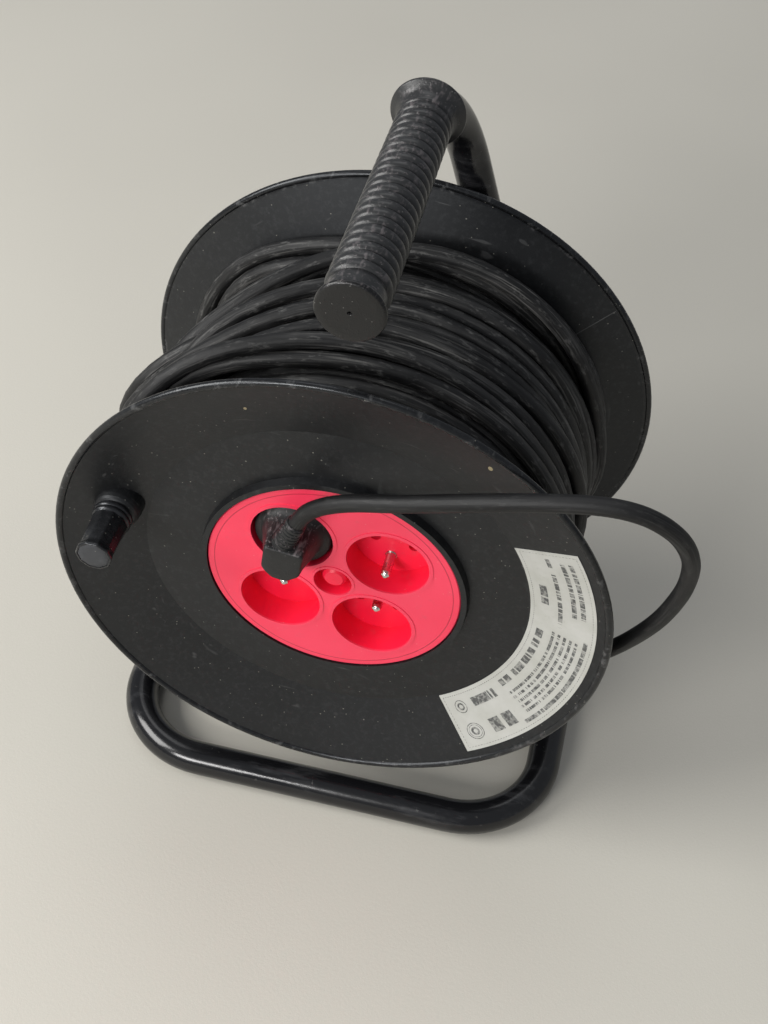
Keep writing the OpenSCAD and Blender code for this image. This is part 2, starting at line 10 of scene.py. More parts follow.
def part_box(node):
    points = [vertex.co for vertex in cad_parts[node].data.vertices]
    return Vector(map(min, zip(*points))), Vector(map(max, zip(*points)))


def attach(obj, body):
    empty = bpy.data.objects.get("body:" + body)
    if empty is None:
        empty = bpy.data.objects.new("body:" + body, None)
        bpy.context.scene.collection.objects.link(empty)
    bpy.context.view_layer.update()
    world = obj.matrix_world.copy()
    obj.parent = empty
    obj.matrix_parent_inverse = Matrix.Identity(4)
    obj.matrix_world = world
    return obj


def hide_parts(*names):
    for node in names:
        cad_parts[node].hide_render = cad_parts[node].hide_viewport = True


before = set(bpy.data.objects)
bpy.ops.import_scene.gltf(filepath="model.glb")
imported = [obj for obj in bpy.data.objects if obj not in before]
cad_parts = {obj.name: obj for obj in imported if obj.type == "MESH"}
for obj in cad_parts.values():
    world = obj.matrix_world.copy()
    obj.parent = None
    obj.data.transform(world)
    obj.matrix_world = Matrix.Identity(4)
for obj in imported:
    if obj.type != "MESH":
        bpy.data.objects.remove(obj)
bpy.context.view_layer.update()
scene = bpy.context.scene
MM = 0.001


# ---------------------------------------------------------------- sizes from the frame

def corners(node):
    low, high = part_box(node)
    return Vector(low), Vector(high)


rim_low, rim_high = corners("front_flange")
RIM_R = (rim_high.x - rim_low.x) / 2
AXLE_Z = (rim_low.z + rim_high.z) / 2
core_low, core_high = corners("drum_core")
CORE_R = (core_high.x - core_low.x) / 2
CORE_FRONT = -core_low.y
CORE_BACK = -core_high.y
PLATE_FRONT = -corners("socket_plate")[0].y
grip_low, grip_high = corners("handle_grip")
knob_low, knob_high = corners("crank_knob")
KNOB_END = -corners("knob_cap")[0].y

# Beyond this radius the flanges lean outwards, by this much for each metre
DISH_R = 93 * MM
DISH_SLOPE = 0.3643


def drum_point(radius, angle, depth):
    """A point in the drum's own terms: depth counts from the origin towards the front."""
    return Vector((radius * math.cos(angle), -depth, AXLE_Z + radius * math.sin(angle)))


# ---------------------------------------------------------------- camera

CAMERA_AT = Vector((0.10392, -0.51245, 0.71665))
CAMERA_YAW = math.radians(-10.383)
CAMERA_PITCH = math.radians(47.375)
CAMERA_ROLL = math.radians(3.928)
LENS = 53.0


def make_camera():
    forward = Vector((math.sin(CAMERA_YAW) * math.cos(CAMERA_PITCH),
                      math.cos(CAMERA_YAW) * math.cos(CAMERA_PITCH), -math.sin(CAMERA_PITCH)))
    level = Vector((math.cos(CAMERA_YAW), -math.sin(CAMERA_YAW), 0))
    upward = level.cross(forward)
    right = level * math.cos(CAMERA_ROLL) + upward * math.sin(CAMERA_ROLL)
    up = upward * math.cos(CAMERA_ROLL) - level * math.sin(CAMERA_ROLL)
    turn = Matrix((right, up, -forward)).transposed().to_4x4()
    data = bpy.data.cameras.new("camera")
    data.lens = LENS
    data.sensor_width = 36
    data.clip_start = 0.01
    camera = bpy.data.objects.new("camera", data)
    camera.matrix_world = Matrix.Translation(CAMERA_AT) @ turn
    scene.collection.objects.link(camera)
    scene.camera = camera


make_camera()


# ---------------------------------------------------------------- mesh helpers

def new_piece(name, points, faces, body, smooth_angle=35):
    mesh = bpy.data.meshes.new(name)
    mesh.from_pydata([tuple(p) for p in points], [], faces)
    mesh.validate()
    mesh.polygons.foreach_set("use_smooth", [True] * len(mesh.polygons))
    mesh.set_sharp_from_angle(angle=math.radians(smooth_angle))
    piece = bpy.data.objects.new(name, mesh)
    scene.collection.objects.link(piece)
    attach(piece, body)
    return piece


def loft(rings, closed=False):
    """Points and faces of a skin over rings with the same number of points. The first and the
    last ring get a face each, or are joined to each other if it is closed."""
    count, last = len(rings[0]), len(rings) - 1
    points = [p for ring in rings for p in ring]
    faces = []
    for i in range(len(rings) if closed else last):
        a, b = i * count, (i + 1) % len(rings) * count
        faces += [(a + k, a + (k + 1) % count, b + (k + 1) % count, b + k) for k in range(count)]
    if not closed:
        faces.append(tuple(reversed(range(count))))
        faces.append(tuple(range(last * count, (last + 1) * count)))
    return points, faces


def turned(profile, middle, sides, flats=0):
    """Rings of a piece turned about a line along y through middle, which is (x, z). A row of
    profile is (radius, y), or (radius, y, from 0 to 1 how far its ring follows the flats)."""
    def narrower(angle):
        """How much nearer a flat lies than the circle round its corners, as a part of it."""
        step = 2 * math.pi / flats
        off = (angle % step) - step / 2
        flatness = 0.5 * (1 - math.cos(2 * math.pi * (angle % step) / step))
        return (1 - math.cos(step / 2) / math.cos(off)) * (0.9 + 0.1 * flatness)

    rings = []
    for radius, y, *flat in profile:
        ring = []
        for k in range(sides):
            angle = 2 * math.pi * k / sides
            r = radius * (1 - flat[0] * narrower(angle)) if flat else radius
            ring.append(Vector((middle[0] + r * math.cos(angle), y,
                                middle[1] + r * math.sin(angle))))
        rings.append(ring)
    return rings


def smoothstep(t):
    t = np.clip(t, 0, 1)
    return t * t * (3 - 2 * t)


# ---------------------------------------------------------------- the cable

# Middle of the free cable in millimetres, from the plug's strain relief to where it joins the
# winding, and how many steps are taken from each point to the next
TAIL = [(-14.4, -80, 219.7), (-10.6, -80.4, 227.2), (-5.4, -81.3, 233.4), (2.4, -83, 240),
        (14, -85.2, 246.8), (34, -89, 256), (56, -91, 265), (86, -92, 275), (112, -92, 281),
        (130, -91, 280), (144, -88, 271), (153, -84, 257), (157, -78, 238), (156, -72, 214),
        (149, -65, 184), (134, -57, 151), (111, -51, 121), (84, -47, 97)]
TAIL_STEPS = 8
CABLE_R = 4.0 * MM
CABLE_LENGTH = 40.0
CABLE_SIDES = 14
# Depth of the hole in the core that the cable's inner end comes out of
LEAD_DEPTH = 11.6 * MM


def smooth_route(points, steps):
    """A smooth curve through points given in millimetres."""
    points = [Vector(p) * MM for p in points]
    last = len(points) - 1
    route = []
    for i in range(last):
        a, b = points[max(i - 1, 0)], points[i]
        c, d = points[i + 1], points[min(i + 2, last)]
        for k in range(steps):
            t = k / steps
            route.append(0.5 * (2 * b + (c - a) * t + (2 * a - 5 * b + 4 * c - d) * t * t
                                + (3 * b - a - 3 * c + d) * t * t * t))
    route.append(points[last])
    return route


# The winding: neat layers of turns side by side, back and forth, then a loose top layer
TURN_STEPS = 72
PLACES = 15
NEAT_LAYERS = 4
# Places across the drum, counted from the back, where the turns of the top layer lie:
# out of order, so that they cross over each other where they change place
TOP_PLACES = (0, 2, 1, 4, 3, 6, 8, 5, 7, 10, 9, 12)
# On the left the top turns lie heaped towards the front flange
LOOSE_ANGLE = math.radians(160)
LOOSE_WIDTH = math.radians(42)
LOOSE_SHIFT = 0.55
# Play between the cable and the flanges, and between the cable and the core
FLANGE_PLAY = 0.4 * MM
CORE_PLAY = 0.2 * MM
# How far a turn wanders to either side
NEAT_SWAY = 0.05 * MM
TOP_SWAY = 0.45 * MM
# Turn of the drum over which the cable comes up out of its hole, and leaves the winding
RISE_ANGLE = math.radians(50)
LEAVE_ANGLE = math.radians(75)
JOIN_ANGLE = math.radians(4)


def place_depth(place):
    back = CORE_BACK + CABLE_R + FLANGE_PLAY
    room = CORE_FRONT - CORE_BACK - 2 * CABLE_R - 2 * FLANGE_PLAY
    return back + room * place / (PLACES - 1)


def turn_starts():
    """Depth of each turn where it starts, from the hole in the core to the top layer."""
    places = [k if layer % 2 == 0 else PLACES - 1 - k
              for layer in range(NEAT_LAYERS) for k in range(PLACES)]
    return [LEAD_DEPTH] + [place_depth(place) for place in places + list(TOP_PLACES)]


def blur(values, width):
    """A smooth copy of one turn's values, which go round."""
    kernel = np.exp(-0.5 * (np.arange(-3 * width, 3 * width + 1) / width) ** 2)
    around = np.concatenate([values, values, values])
    out = np.convolve(around, kernel / kernel.sum(), mode="same")
    return out[len(values):2 * len(values)]


def change_over(turn, rng):
    """Part of a turn by which the cable is halfway to its next place, and the part it takes."""
    if turn == 0:
        return 0.16, 0.32
    if turn > NEAT_LAYERS * PLACES:
        return 0.63 + rng.uniform(-0.09, 0.09), 0.3
    return 0.63, 0.2


def wind_cable(end_depth):
    """Lays the cable on the core turn by turn; each turn settles on the ones under it."""
    rng = np.random.default_rng(11)
    starts = turn_starts() + [end_depth]
    across = 2 * CABLE_R
    floor_r = CORE_R + CABLE_R + CORE_PLAY
    angles = np.arange(TURN_STEPS) * 2 * math.pi / TURN_STEPS - math.pi / 2
    heap = LOOSE_SHIFT * np.exp(-((angles - LOOSE_ANGLE) / LOOSE_WIDTH) ** 2)
    sweep = np.arange(TURN_STEPS) / TURN_STEPS
    depths = np.empty((0, TURN_STEPS))
    radii = np.empty((0, TURN_STEPS))

    def height(depth):
        """Lowest radius at which the cable lies at these depths, one per step."""
        if not len(depths):
            return np.full(TURN_STEPS, floor_r)
        gap = np.abs(depths - depth)
        over = radii + np.sqrt(np.maximum(across ** 2 - gap ** 2, 0))
        return np.maximum(floor_r, np.where(gap < 0.9 * across, over, 0).max(axis=0))

    for k in range(len(starts) - 1):
        top = k > NEAT_LAYERS * PLACES
        middle, width = change_over(k, rng)
        shift = smoothstep((sweep - middle) / width + 0.5)
        depth = starts[k] + (starts[k + 1] - starts[k]) * shift
        sway = rng.normal(0, 1, 3)
        wave = sum(sway[n] * np.sin((n + 1) * angles + 5 * sway[n]) for n in range(3))
        ease = np.minimum(1, 8 * sweep * (1 - sweep))
        depth = depth + wave * ease * (TOP_SWAY if top else NEAT_SWAY)
        spread = np.maximum(0, height(depth) - DISH_R) * DISH_SLOPE
        low = CORE_BACK + CABLE_R + FLANGE_PLAY - spread
        high = CORE_FRONT - CABLE_R - FLANGE_PLAY + spread
        if top:
            depth = depth + (high - depth) * heap * rng.uniform(0.9, 1.1)
        depth = np.clip(depth, low, high)
        radius = height(depth)
        depths = np.vstack([depths, depth])
        radii = np.vstack([radii, np.maximum(radius, blur(radius, 3))])
    return angles, depths, radii


def even_out(values, reach=6, width=2.25):
    """Takes the kinks out of values along the wound cable, over reach steps each way."""
    kernel = np.exp(-0.5 * (np.arange(-reach, reach + 1) / width) ** 2)
    out = values.copy()
    out[reach:-reach] = np.convolve(values, kernel / kernel.sum(), mode="valid")
    return out


def cable_route():
    """Middle of the whole cable, from the hole in the core to the plug."""
    tail = smooth_route(TAIL, TAIL_STEPS)
    end = tail[-1]
    end_angle = math.atan2(end.z - AXLE_Z, end.x)
    end_radius = math.hypot(end.z - AXLE_Z, end.x)
    angles, depths, radii = wind_cable(-end.y)
    turns = len(depths)
    angle = np.concatenate([angles + 2 * math.pi * k for k in range(turns)])
    depth, radius = even_out(depths.ravel()), even_out(radii.ravel())
    last = 2 * math.pi * (turns - 1) + end_angle
    keep = angle < last - JOIN_ANGLE
    angle, depth, radius = angle[keep], depth[keep], radius[keep]
    near = smoothstep(1 - (last - angle) / LEAVE_ANGLE)
    depth = depth + (-end.y - depth) * near
    radius = radius + (end_radius - radius) * near
    rise = smoothstep((angle + math.pi / 2) / RISE_ANGLE)
    radius = np.minimum(radius, CORE_R - 1 * MM + (CABLE_R + 1.2 * MM) * rise + (rise >= 1))
    wound = [drum_point(r, a, d) for r, a, d in zip(radius, angle, depth)]
    return wound + tail[::-1]


def tube_rings(path, radii, sides):
    """Rings of a round tube along a path that never runs along y, and the length up to each."""
    rings, along, total = [], [], 0
    for i, (p, radius) in enumerate(zip(path, radii)):
        t = (path[min(i + 1, len(path) - 1)] - path[max(i - 1, 0)]).normalized()
        u = t.cross(Vector((0, 1, 0))).normalized()
        v = t.cross(u)
        total += (p - path[i - 1]).length if i else 0
        along.append(total)
        rings.append([p + radius * (math.cos(2 * math.pi * k / sides) * u
                                    + math.sin(2 * math.pi * k / sides) * v)
                      for k in range(sides)])
    return rings, along


def add_grain(piece, values):
    """Stores where each point is round and along the cable, for its material."""
    layer = piece.data.attributes.new("grain", "FLOAT_VECTOR", "POINT")
    layer.data.foreach_set("vector", np.array(values, dtype=np.float32).ravel())


def make_cable():
    path = cable_route()
    rings, along = tube_rings(path, [CABLE_R] * len(path), CABLE_SIDES)
    points, faces = loft(rings)
    cable = new_piece("cable", points, faces, "drum", smooth_angle=60)
    turns = [2 * math.pi * k / CABLE_SIDES for k in range(CABLE_SIDES)]
    add_grain(cable, [(CABLE_R * math.cos(turn), CABLE_R * math.sin(turn), here)
                      for here in along for turn in turns])
    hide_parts("cord_winding", "cord_tail")
    return cable


# The parked plug: half width, height above and below the socket's middle, cut of the lower
# corners and sharpness of the outline, in millimetres, at each depth
PLUG = [(52.4, 18.0, 18.0, 18.0, 0, 2), (52.8, 18.4, 18.4, 18.4, 0, 2),
        (64.6, 18.4, 18.4, 18.4, 0, 2), (65.3, 18.1, 18.1, 18.1, 0, 2),
        (65.8, 17.4, 17.2, 17.4, 0, 2), (66.4, 16.6, 15.4, 16.2, 1, 2.5),
        (68, 14.6, 13.6, 14.0, 2, 3), (72, 12.9, 12.6, 12.4, 3, 4.2), (76, 11.3, 11.9, 11.0, 4, 6),
        (80, 10.1, 11.4, 10.0, 4.6, 8), (84.4, 9.3, 11.0, 9.3, 5.4, 16),
        (85.5, 9.1, 10.8, 9.1, 5.4, 16), (86.0, 8.7, 10.4, 8.7, 5.2, 15),
        (86.2, 8.1, 9.8, 8.1, 5, 14), (86.25, 4, 5, 4, 2, 8)]
PLUG_SIDES = 96
PLATE_TURN = math.radians(-7)
SOCKET_OFF = 23.05 * MM
RELIEF_BASE = (-21.5, -80, 202.6)
RELIEF_R = 5.75
RELIEF_TAPER = 0.85
RELIEF_RIBS = 9
RELIEF_RIB_DEPTH = 0.5
RIB_STEPS = 6


def plug_ring(depth, half, top, low, cut, sharp):
    ring = []
    for k in range(PLUG_SIDES):
        angle = 2 * math.pi * k / PLUG_SIDES
        c, s = math.cos(angle), math.sin(angle)
        limits = [abs(c) / half, s / top if s > 0 else -s / low]
        if cut:
            limits.append(max(0, abs(c) - s) / (half + low - cut))
        r = sum(t ** sharp for t in limits) ** (-1 / sharp) * MM
        x, y = r * c - SOCKET_OFF, r * s + SOCKET_OFF
        ring.append(Vector((x * math.cos(PLATE_TURN) - y * math.sin(PLATE_TURN), -depth * MM,
                            AXLE_Z + x * math.sin(PLATE_TURN) + y * math.cos(PLATE_TURN))))
    return ring


def make_plug():
    """Tapered plug body and the ribbed strain relief on its top."""
    points, faces = loft([plug_ring(*row) for row in PLUG])
    plug = new_piece("moulded_plug", points, faces, "drum", smooth_angle=42)
    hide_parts("plug_body")
    base, tip = Vector(RELIEF_BASE) * MM, Vector(TAIL[0]) * MM
    axis = (tip - base).normalized()
    path, radii = [base - axis * 3 * MM], [RELIEF_R]
    for i in range(RELIEF_RIBS):
        for k in range(RIB_STEPS):
            t = (i + k / RIB_STEPS) / RELIEF_RIBS
            dip = max(0, math.sin(2 * math.pi * (k / RIB_STEPS - 0.5))) ** 0.6
            path.append(base + (tip - base) * t)
            radii.append(RELIEF_R - RELIEF_TAPER * t - RELIEF_RIB_DEPTH * dip)
    path += [tip, tip + axis * 0.5 * MM, tip + axis * 0.6 * MM]
    radii = [r * MM for r in radii + [4.8, 4.4, 4.05]]
    points, faces = loft(tube_rings(path, radii, 40)[0])
    relief = new_piece("ribbed_relief", points, faces, "drum", smooth_angle=50)
    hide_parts("plug_relief")
    return plug, relief


plug, relief = make_plug()
cable = make_cable()


# ---------------------------------------------------------------- grip and crank knob

GRIP_RIBS = 21
GRIP_RIB_R = 13.55
GRIP_RIB_TAPER = 0.95
GRIP_RIB_DEPTH = 1.7
RIBS_FROM = 12.0
RIBS_TO_END = 10.5
KNOB_SIDES = 80
KNOB_FLATS = 10


def arc(middle, radius, start, end, steps):
    """Points of an arc in (radius, along), by angles in degrees."""
    return [(middle[0] + radius * math.cos(math.radians(start + (end - start) * k / steps)),
             middle[1] + radius * math.sin(math.radians(start + (end - start) * k / steps)))
            for k in range(steps + 1)]


def grip_profile():
    """Outline of the rubber grip in millimetres: (radius, distance from its front end)."""
    length = (grip_high.y - grip_low.y) / MM
    outline = [(0.55, 3), (0.6, 0.5), (1.0, 0.0), (6, 0.05), (10.5, 0.25)]
    outline += arc((12.9, 1.75), 1.5, -80, 60, 7)
    outline += [(13.2, 3.3), (12.85, 3.9), (12.75, 5), (12.7, 8.5), (12.6, 11.4)]
    start, end = RIBS_FROM, length - RIBS_TO_END
    pitch = (end - start) / GRIP_RIBS
    for i in range(GRIP_RIBS):
        top = GRIP_RIB_R - GRIP_RIB_TAPER * i / GRIP_RIBS
        for t in (k / 10 for k in range(10)):
            bulge = (1 - abs(2 * t - 1) ** 2.3) ** 0.7
            outline.append((top - GRIP_RIB_DEPTH * (1 - bulge), start + (i + t) * pitch))
    outline.append((11.45, end))
    outline += [(12.2, end + 0.6), (12.45, end + 1.6), (12.6, end + 3.2), (13.0, end + 4.8),
                (13.8, end + 6.2), (14.9, end + 7.2), (15.6, end + 7.6)]
    outline += arc((15.85, length - 1.2), 1.15, -70, 90, 8)
    outline += [(13, length - 0.02), (9.3, length - 0.02), (9.3, 5.1), (2, 5.1), (0.55, 4.5)]
    return [(r * MM, grip_low.y + y * MM) for r, y in outline]


def make_grip():
    middle = ((grip_low.x + grip_high.x) / 2, (grip_low.z + grip_high.z) / 2)
    points, faces = loft(turned(grip_profile(), middle, 64), closed=True)
    grip = new_piece("ribbed_grip", points, faces, "stand", smooth_angle=50)
    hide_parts("handle_grip")
    return grip


def knob_piece(name, profile, stands_for, closed=False):
    """A piece of the knob, from (radius, depth) or (radius, depth, flatness) in millimetres."""
    middle = ((knob_low.x + knob_high.x) / 2, (knob_low.z + knob_high.z) / 2)
    place = [(r * MM, -depth * MM, *flat) for r, depth, *flat in profile]
    points, faces = loft(turned(place, middle, KNOB_SIDES, KNOB_FLATS), closed)
    piece = new_piece(name, points, faces, "knob", smooth_angle=50)
    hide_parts(stands_for)
    return piece


def make_knob():
    """Faceted sleeve of the crank knob, and the disc that closes its end."""
    back = -knob_high.y / MM
    front = KNOB_END / MM
    sleeve = [(3.1, back), (8.9, back), (9.5, back + 0.4), (9.6, back + 1.6), (9.3, back + 2.1),
              (9.0, back + 2.4), (9.3, back + 2.8), (9.4, back + 3.4), (9.3, back + 4.2),
              (8.9, back + 4.8), (8.5, back + 5.1), (8.6, back + 5.6, 0.7), (8.85, back + 6.4, 1),
              (8.55, back + 10, 1), (8.2, front - 5, 1), (8.2, front - 3.4, 1),
              (8.5, front - 2.2, 1), (8.75, front - 1.2, 1), (8.7, front - 0.5, 1),
              (8.4, front - 0.1, 1), (8.0, front, 1), (7.65, front - 0.15, 1),
              (7.6, front - 0.9, 1), (3.1, front - 0.95)]
    disc = [(0.5, front - 0.9), (7.5, front - 0.88, 1), (7.5, front - 0.35, 1),
            (7.25, front - 0.14, 1), (5, front - 0.06, 1), (2, front - 0.02), (0.5, front - 0.02)]
    return (knob_piece("knob_sleeve", sleeve, "crank_knob", closed=True),
            knob_piece("knob_disc", disc, "knob_cap"))


grip = make_grip()
knob, knob_disc = make_knob()


# ---------------------------------------------------------------- materials

class Look:
    """A node material, built step by step. Methods return sockets."""

    def __init__(self, name, coords="object"):
        self.material = bpy.data.materials.new(name)
        self.material.use_nodes = True
        self.tree = self.material.node_tree
        self.shader = self.tree.nodes["Principled BSDF"]
        if coords == "object":
            self.place = self.tree.nodes.new("ShaderNodeTexCoord").outputs["Object"]
        else:
            node = self.tree.nodes.new("ShaderNodeAttribute")
            node.attribute_name = coords
            self.place = node.outputs["Vector"]

    def put(self, socket, value):
        if isinstance(value, bpy.types.NodeSocket):
            self.tree.links.new(value, socket)
        elif isinstance(value, tuple) and len(value) == 3 and socket.type == "RGBA":
            socket.default_value = (*value, 1)
        else:
            socket.default_value = value

    def axis(self, name, vector=None):
        """X, Y or Z of a vector, or of the place on the piece."""
        node = self.tree.nodes.new("ShaderNodeSeparateXYZ")
        self.tree.links.new(vector or self.place, node.inputs[0])
        return node.outputs[name]

    def stretched(self, scale):
        node = self.tree.nodes.new("ShaderNodeMapping")
        node.inputs["Scale"].default_value = scale
        self.tree.links.new(self.place, node.inputs["Vector"])
        return node.outputs["Vector"]

    def noise(self, scale, detail=3, rough=0.5, place=None, warp=0):
        node = self.tree.nodes.new("ShaderNodeTexNoise")
        node.inputs["Scale"].default_value = scale
        node.inputs["Detail"].default_value = detail
        node.inputs["Roughness"].default_value = rough
        node.inputs["Distortion"].default_value = warp
        self.tree.links.new(place or self.place, node.inputs["Vector"])
        return node.outputs["Fac"]

    def cells(self, scale, output="Distance", place=None, feature="F1"):
        node = self.tree.nodes.new("ShaderNodeTexVoronoi")
        node.feature = feature
        node.inputs["Scale"].default_value = scale
        self.tree.links.new(place or self.place, node.inputs["Vector"])
        return node.outputs[output]

    def span(self, value, low, high, to_low=0, to_high=1):
        node = self.tree.nodes.new("ShaderNodeMapRange")
        for name, v in (("Value", value), ("From Min", low), ("From Max", high),
                        ("To Min", to_low), ("To Max", to_high)):
            self.put(node.inputs[name], v)
        return node.outputs["Result"]

    def math(self, operation, a, b=0.0, c=None):
        node = self.tree.nodes.new("ShaderNodeMath")
        node.operation = operation
        self.put(node.inputs[0], a)
        self.put(node.inputs[1], b)
        if c is not None:
            self.put(node.inputs[2], c)
        return node.outputs[0]

    def mix(self, amount, a, b):
        node = self.tree.nodes.new("ShaderNodeMix")
        node.data_type = "RGBA"
        self.put(node.inputs["Factor"], amount)
        self.put(node.inputs["A"], a)
        self.put(node.inputs["B"], b)
        return node.outputs["Result"]

    def bump(self, height, distance, strength=1.0):
        node = self.tree.nodes.new("ShaderNodeBump")
        node.inputs["Distance"].default_value = distance
        node.inputs["Strength"].default_value = strength
        self.put(node.inputs["Height"], height)
        link = self.shader.inputs["Normal"].links
        if link:
            self.tree.links.new(link[0].from_socket, node.inputs["Normal"])
        self.tree.links.new(node.outputs["Normal"], self.shader.inputs["Normal"])

    def polar(self):
        """Radius and angle about the drum's axle, in metres and radians."""
        up = self.math("SUBTRACT", self.axis("Z"), AXLE_Z)
        across = self.axis("X")
        return self.far(up, across), self.math("ARCTAN2", up, across)

    def far(self, a, b):
        """Distance from the origin of a point at (a, b)."""
        return self.math("SQRT", self.math("ADD", self.both(a, a), self.both(b, b)))

    def point(self, x, y, z=0.0):
        node = self.tree.nodes.new("ShaderNodeCombineXYZ")
        for socket, value in zip(node.inputs, (x, y, z)):
            self.put(socket, value)
        return node.outputs[0]

    def inside(self, value, low, high):
        """1 where low <= value <= high."""
        return self.math("COMPARE", self.math("SUBTRACT", value, (low + high) / 2), 0.0,
                         (high - low) / 2)

    def both(self, *values):
        out = values[0]
        for value in values[1:]:
            out = self.math("MULTIPLY", out, value)
        return out

    def either(self, *values):
        out = values[0]
        for value in values[1:]:
            out = self.math("MAXIMUM", out, value)
        return out

    def set(self, **values):
        for name, value in values.items():
            self.put(self.shader.inputs[name.replace("_", " ")], value)


def paint(look, *nodes):
    for node in nodes:
        for material_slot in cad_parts[node].material_slots:
            material_slot.material = look.material


def coat(piece, look):
    piece.data.materials.clear()
    piece.data.materials.append(look.material)


def specks(look, scale, size, share, place=None):
    """Small scattered dots: size is their part of a cell, share the part of cells with one."""
    near = look.cells(scale, "Distance", place)
    pick = look.tree.nodes.new("ShaderNodeSeparateColor")
    look.tree.links.new(look.cells(scale, "Color", place), pick.inputs["Color"])
    dot = look.math("LESS_THAN", near, size)
    chosen = look.math("LESS_THAN", pick.outputs["Red"], share)
    return look.math("MULTIPLY", dot, chosen)


def scratches(look, scale, stretch, low, high):
    """Thin streaks along one axis."""
    streak = look.noise(scale, 2, 0.6, look.stretched(stretch), 0.4)
    return look.span(streak, low, high)


def worn_flange(look, base, gloss):
    """Adds a flange's smoother, scuffed rim bead and the fine line scored into the rear one."""
    radius, angle = look.polar()
    bead = look.span(radius, RIM_R - 4.2 * MM, RIM_R - 3.2 * MM)
    scuffs = look.noise(120, 3, 0.7, look.point(look.math("MULTIPLY", angle, 0.13), radius))
    worn = look.both(bead, look.span(scuffs, 0.56, 0.66), 0.22)
    base = look.mix(worn, base, (0.22, 0.22, 0.22))
    line = look.both(look.inside(angle, 0.6345, 0.6385), look.inside(radius, 0.106, 0.130),
                     look.math("GREATER_THAN", look.axis("Y"), 0.0), 0.5)
    return (look.mix(line, base, (0.10, 0.10, 0.10)),
            look.math("SUBTRACT", gloss, look.math("MULTIPLY", bead, 0.18)))


def black_plastic(name, shade=0.005, rough=0.42, dust=0.5, rim=False):
    """Satin black plastic with haze, grit, specks and scratches; dust is how much of them."""
    look = Look(name)
    cloud = look.noise(14, 4, 0.55)
    haze = look.math("MULTIPLY", look.span(cloud, 0.42, 0.75), 0.03 * dust)
    base = look.mix(haze, (shade, shade * 1.04, shade * 1.15), (0.17, 0.175, 0.185))
    grit = look.span(look.noise(340, 4, 0.75), 0.50, 0.80)
    base = look.mix(look.math("MULTIPLY", grit, 0.14 * dust), base, (0.22, 0.225, 0.235))
    fine = look.either(specks(look, 520, 0.16, 0.07), specks(look, 260, 0.10, 0.05))
    base = look.mix(look.math("MULTIPLY", fine, 0.5 * dust), base, (0.50, 0.48, 0.42))
    bits = specks(look, 75, 0.085, 0.045, look.stretched((1, 1, 0.6)))
    base = look.mix(look.math("MULTIPLY", bits, 0.9 * dust), base, (0.62, 0.52, 0.30))
    marks = look.either(scratches(look, 60, (1, 6, 0.25), 0.68, 0.74),
                        scratches(look, 70, (0.25, 6, 1.4), 0.70, 0.75))
    base = look.mix(look.math("MULTIPLY", marks, 0.10), base, (0.3, 0.3, 0.3))
    gloss = look.span(cloud, 0.3, 0.7, rough - 0.05, rough + 0.09)
    if rim:
        base, gloss = worn_flange(look, base, gloss)
    look.set(Base_Color=base, Roughness=gloss, Specular_IOR_Level=0.40,
             Specular_Tint=(0.93, 0.96, 1.0))
    look.bump(look.noise(900, 2), 0.00003)
    look.bump(marks, 0.00003)
    return look


def gloss_enamel():
    """Glossy black paint on the bent tube, a little rubbed."""
    look = Look("gloss_enamel")
    patch = look.noise(22, 4)
    wear = look.span(look.noise(160, 4, 0.7), 0.66, 0.72)
    base = look.mix(look.math("MULTIPLY", wear, 0.35), (0.006, 0.006, 0.007), (0.10, 0.095, 0.085))
    rubbed = look.span(look.noise(90, 4, 0.7, look.stretched((0.2, 1, 1))), 0.52, 0.74, 0, 0.16)
    base = look.mix(rubbed, base, (0.22, 0.22, 0.23))
    rough = look.span(patch, 0.3, 0.7, 0.13, 0.24)
    look.set(Base_Color=base, Roughness=look.math("ADD", rough, look.math("MULTIPLY", wear, 0.3)))
    look.bump(look.noise(130, 3), 0.00006)
    look.bump(look.noise(14, 2), 0.0004)
    return look


def rubber(name, shade, rough, wear, dark_end=None):
    """Matt black rubber; wear is how grey its rubbed, upward-facing side gets, partly as wear and
    partly as a painted highlight.
    It is darker in front of dark_end, if that is given."""
    look = Look(name)
    cloud = look.noise(30, 4, 0.6)
    haze = look.math("MULTIPLY", look.span(cloud, 0.45, 0.8), 0.05)
    base = look.mix(haze, (shade, shade * 1.02, shade * 1.06), (0.15, 0.15, 0.155))
    if dark_end is not None:
        cap = look.math("LESS_THAN", look.axis("Y"), dark_end)
        base = look.mix(cap, base, (0.004, 0.004, 0.0045))
    facing = look.tree.nodes.new("ShaderNodeTexCoord").outputs["Normal"]
    # Upward-facing sides get the lighter rubbed grey: partly wear, partly a painted highlight on the
    # tops of the ribs.
    upward_wear_and_highlight = look.span(look.axis("Z", facing), 0.25, 0.75)
    rubbed = look.either(scratches(look, 420, (1, 0.3, 0.9), 0.56, 0.70),
                         scratches(look, 700, (0.9, 1, 0.4), 0.58, 0.70))
    worn = look.both(rubbed, upward_wear_and_highlight, wear)
    base = look.mix(worn, base, (0.20, 0.175, 0.18))
    dust = specks(look, 900, 0.2, 0.05)
    base = look.mix(look.math("MULTIPLY", dust, 0.25), base, (0.45, 0.44, 0.42))
    look.set(Base_Color=base, Roughness=look.span(cloud, 0.3, 0.7, rough - 0.06, rough + 0.1),
             Specular_IOR_Level=0.42)
    look.bump(rubbed, 0.00012 * wear)
    look.bump(look.noise(1400, 2), 0.00004)
    return look


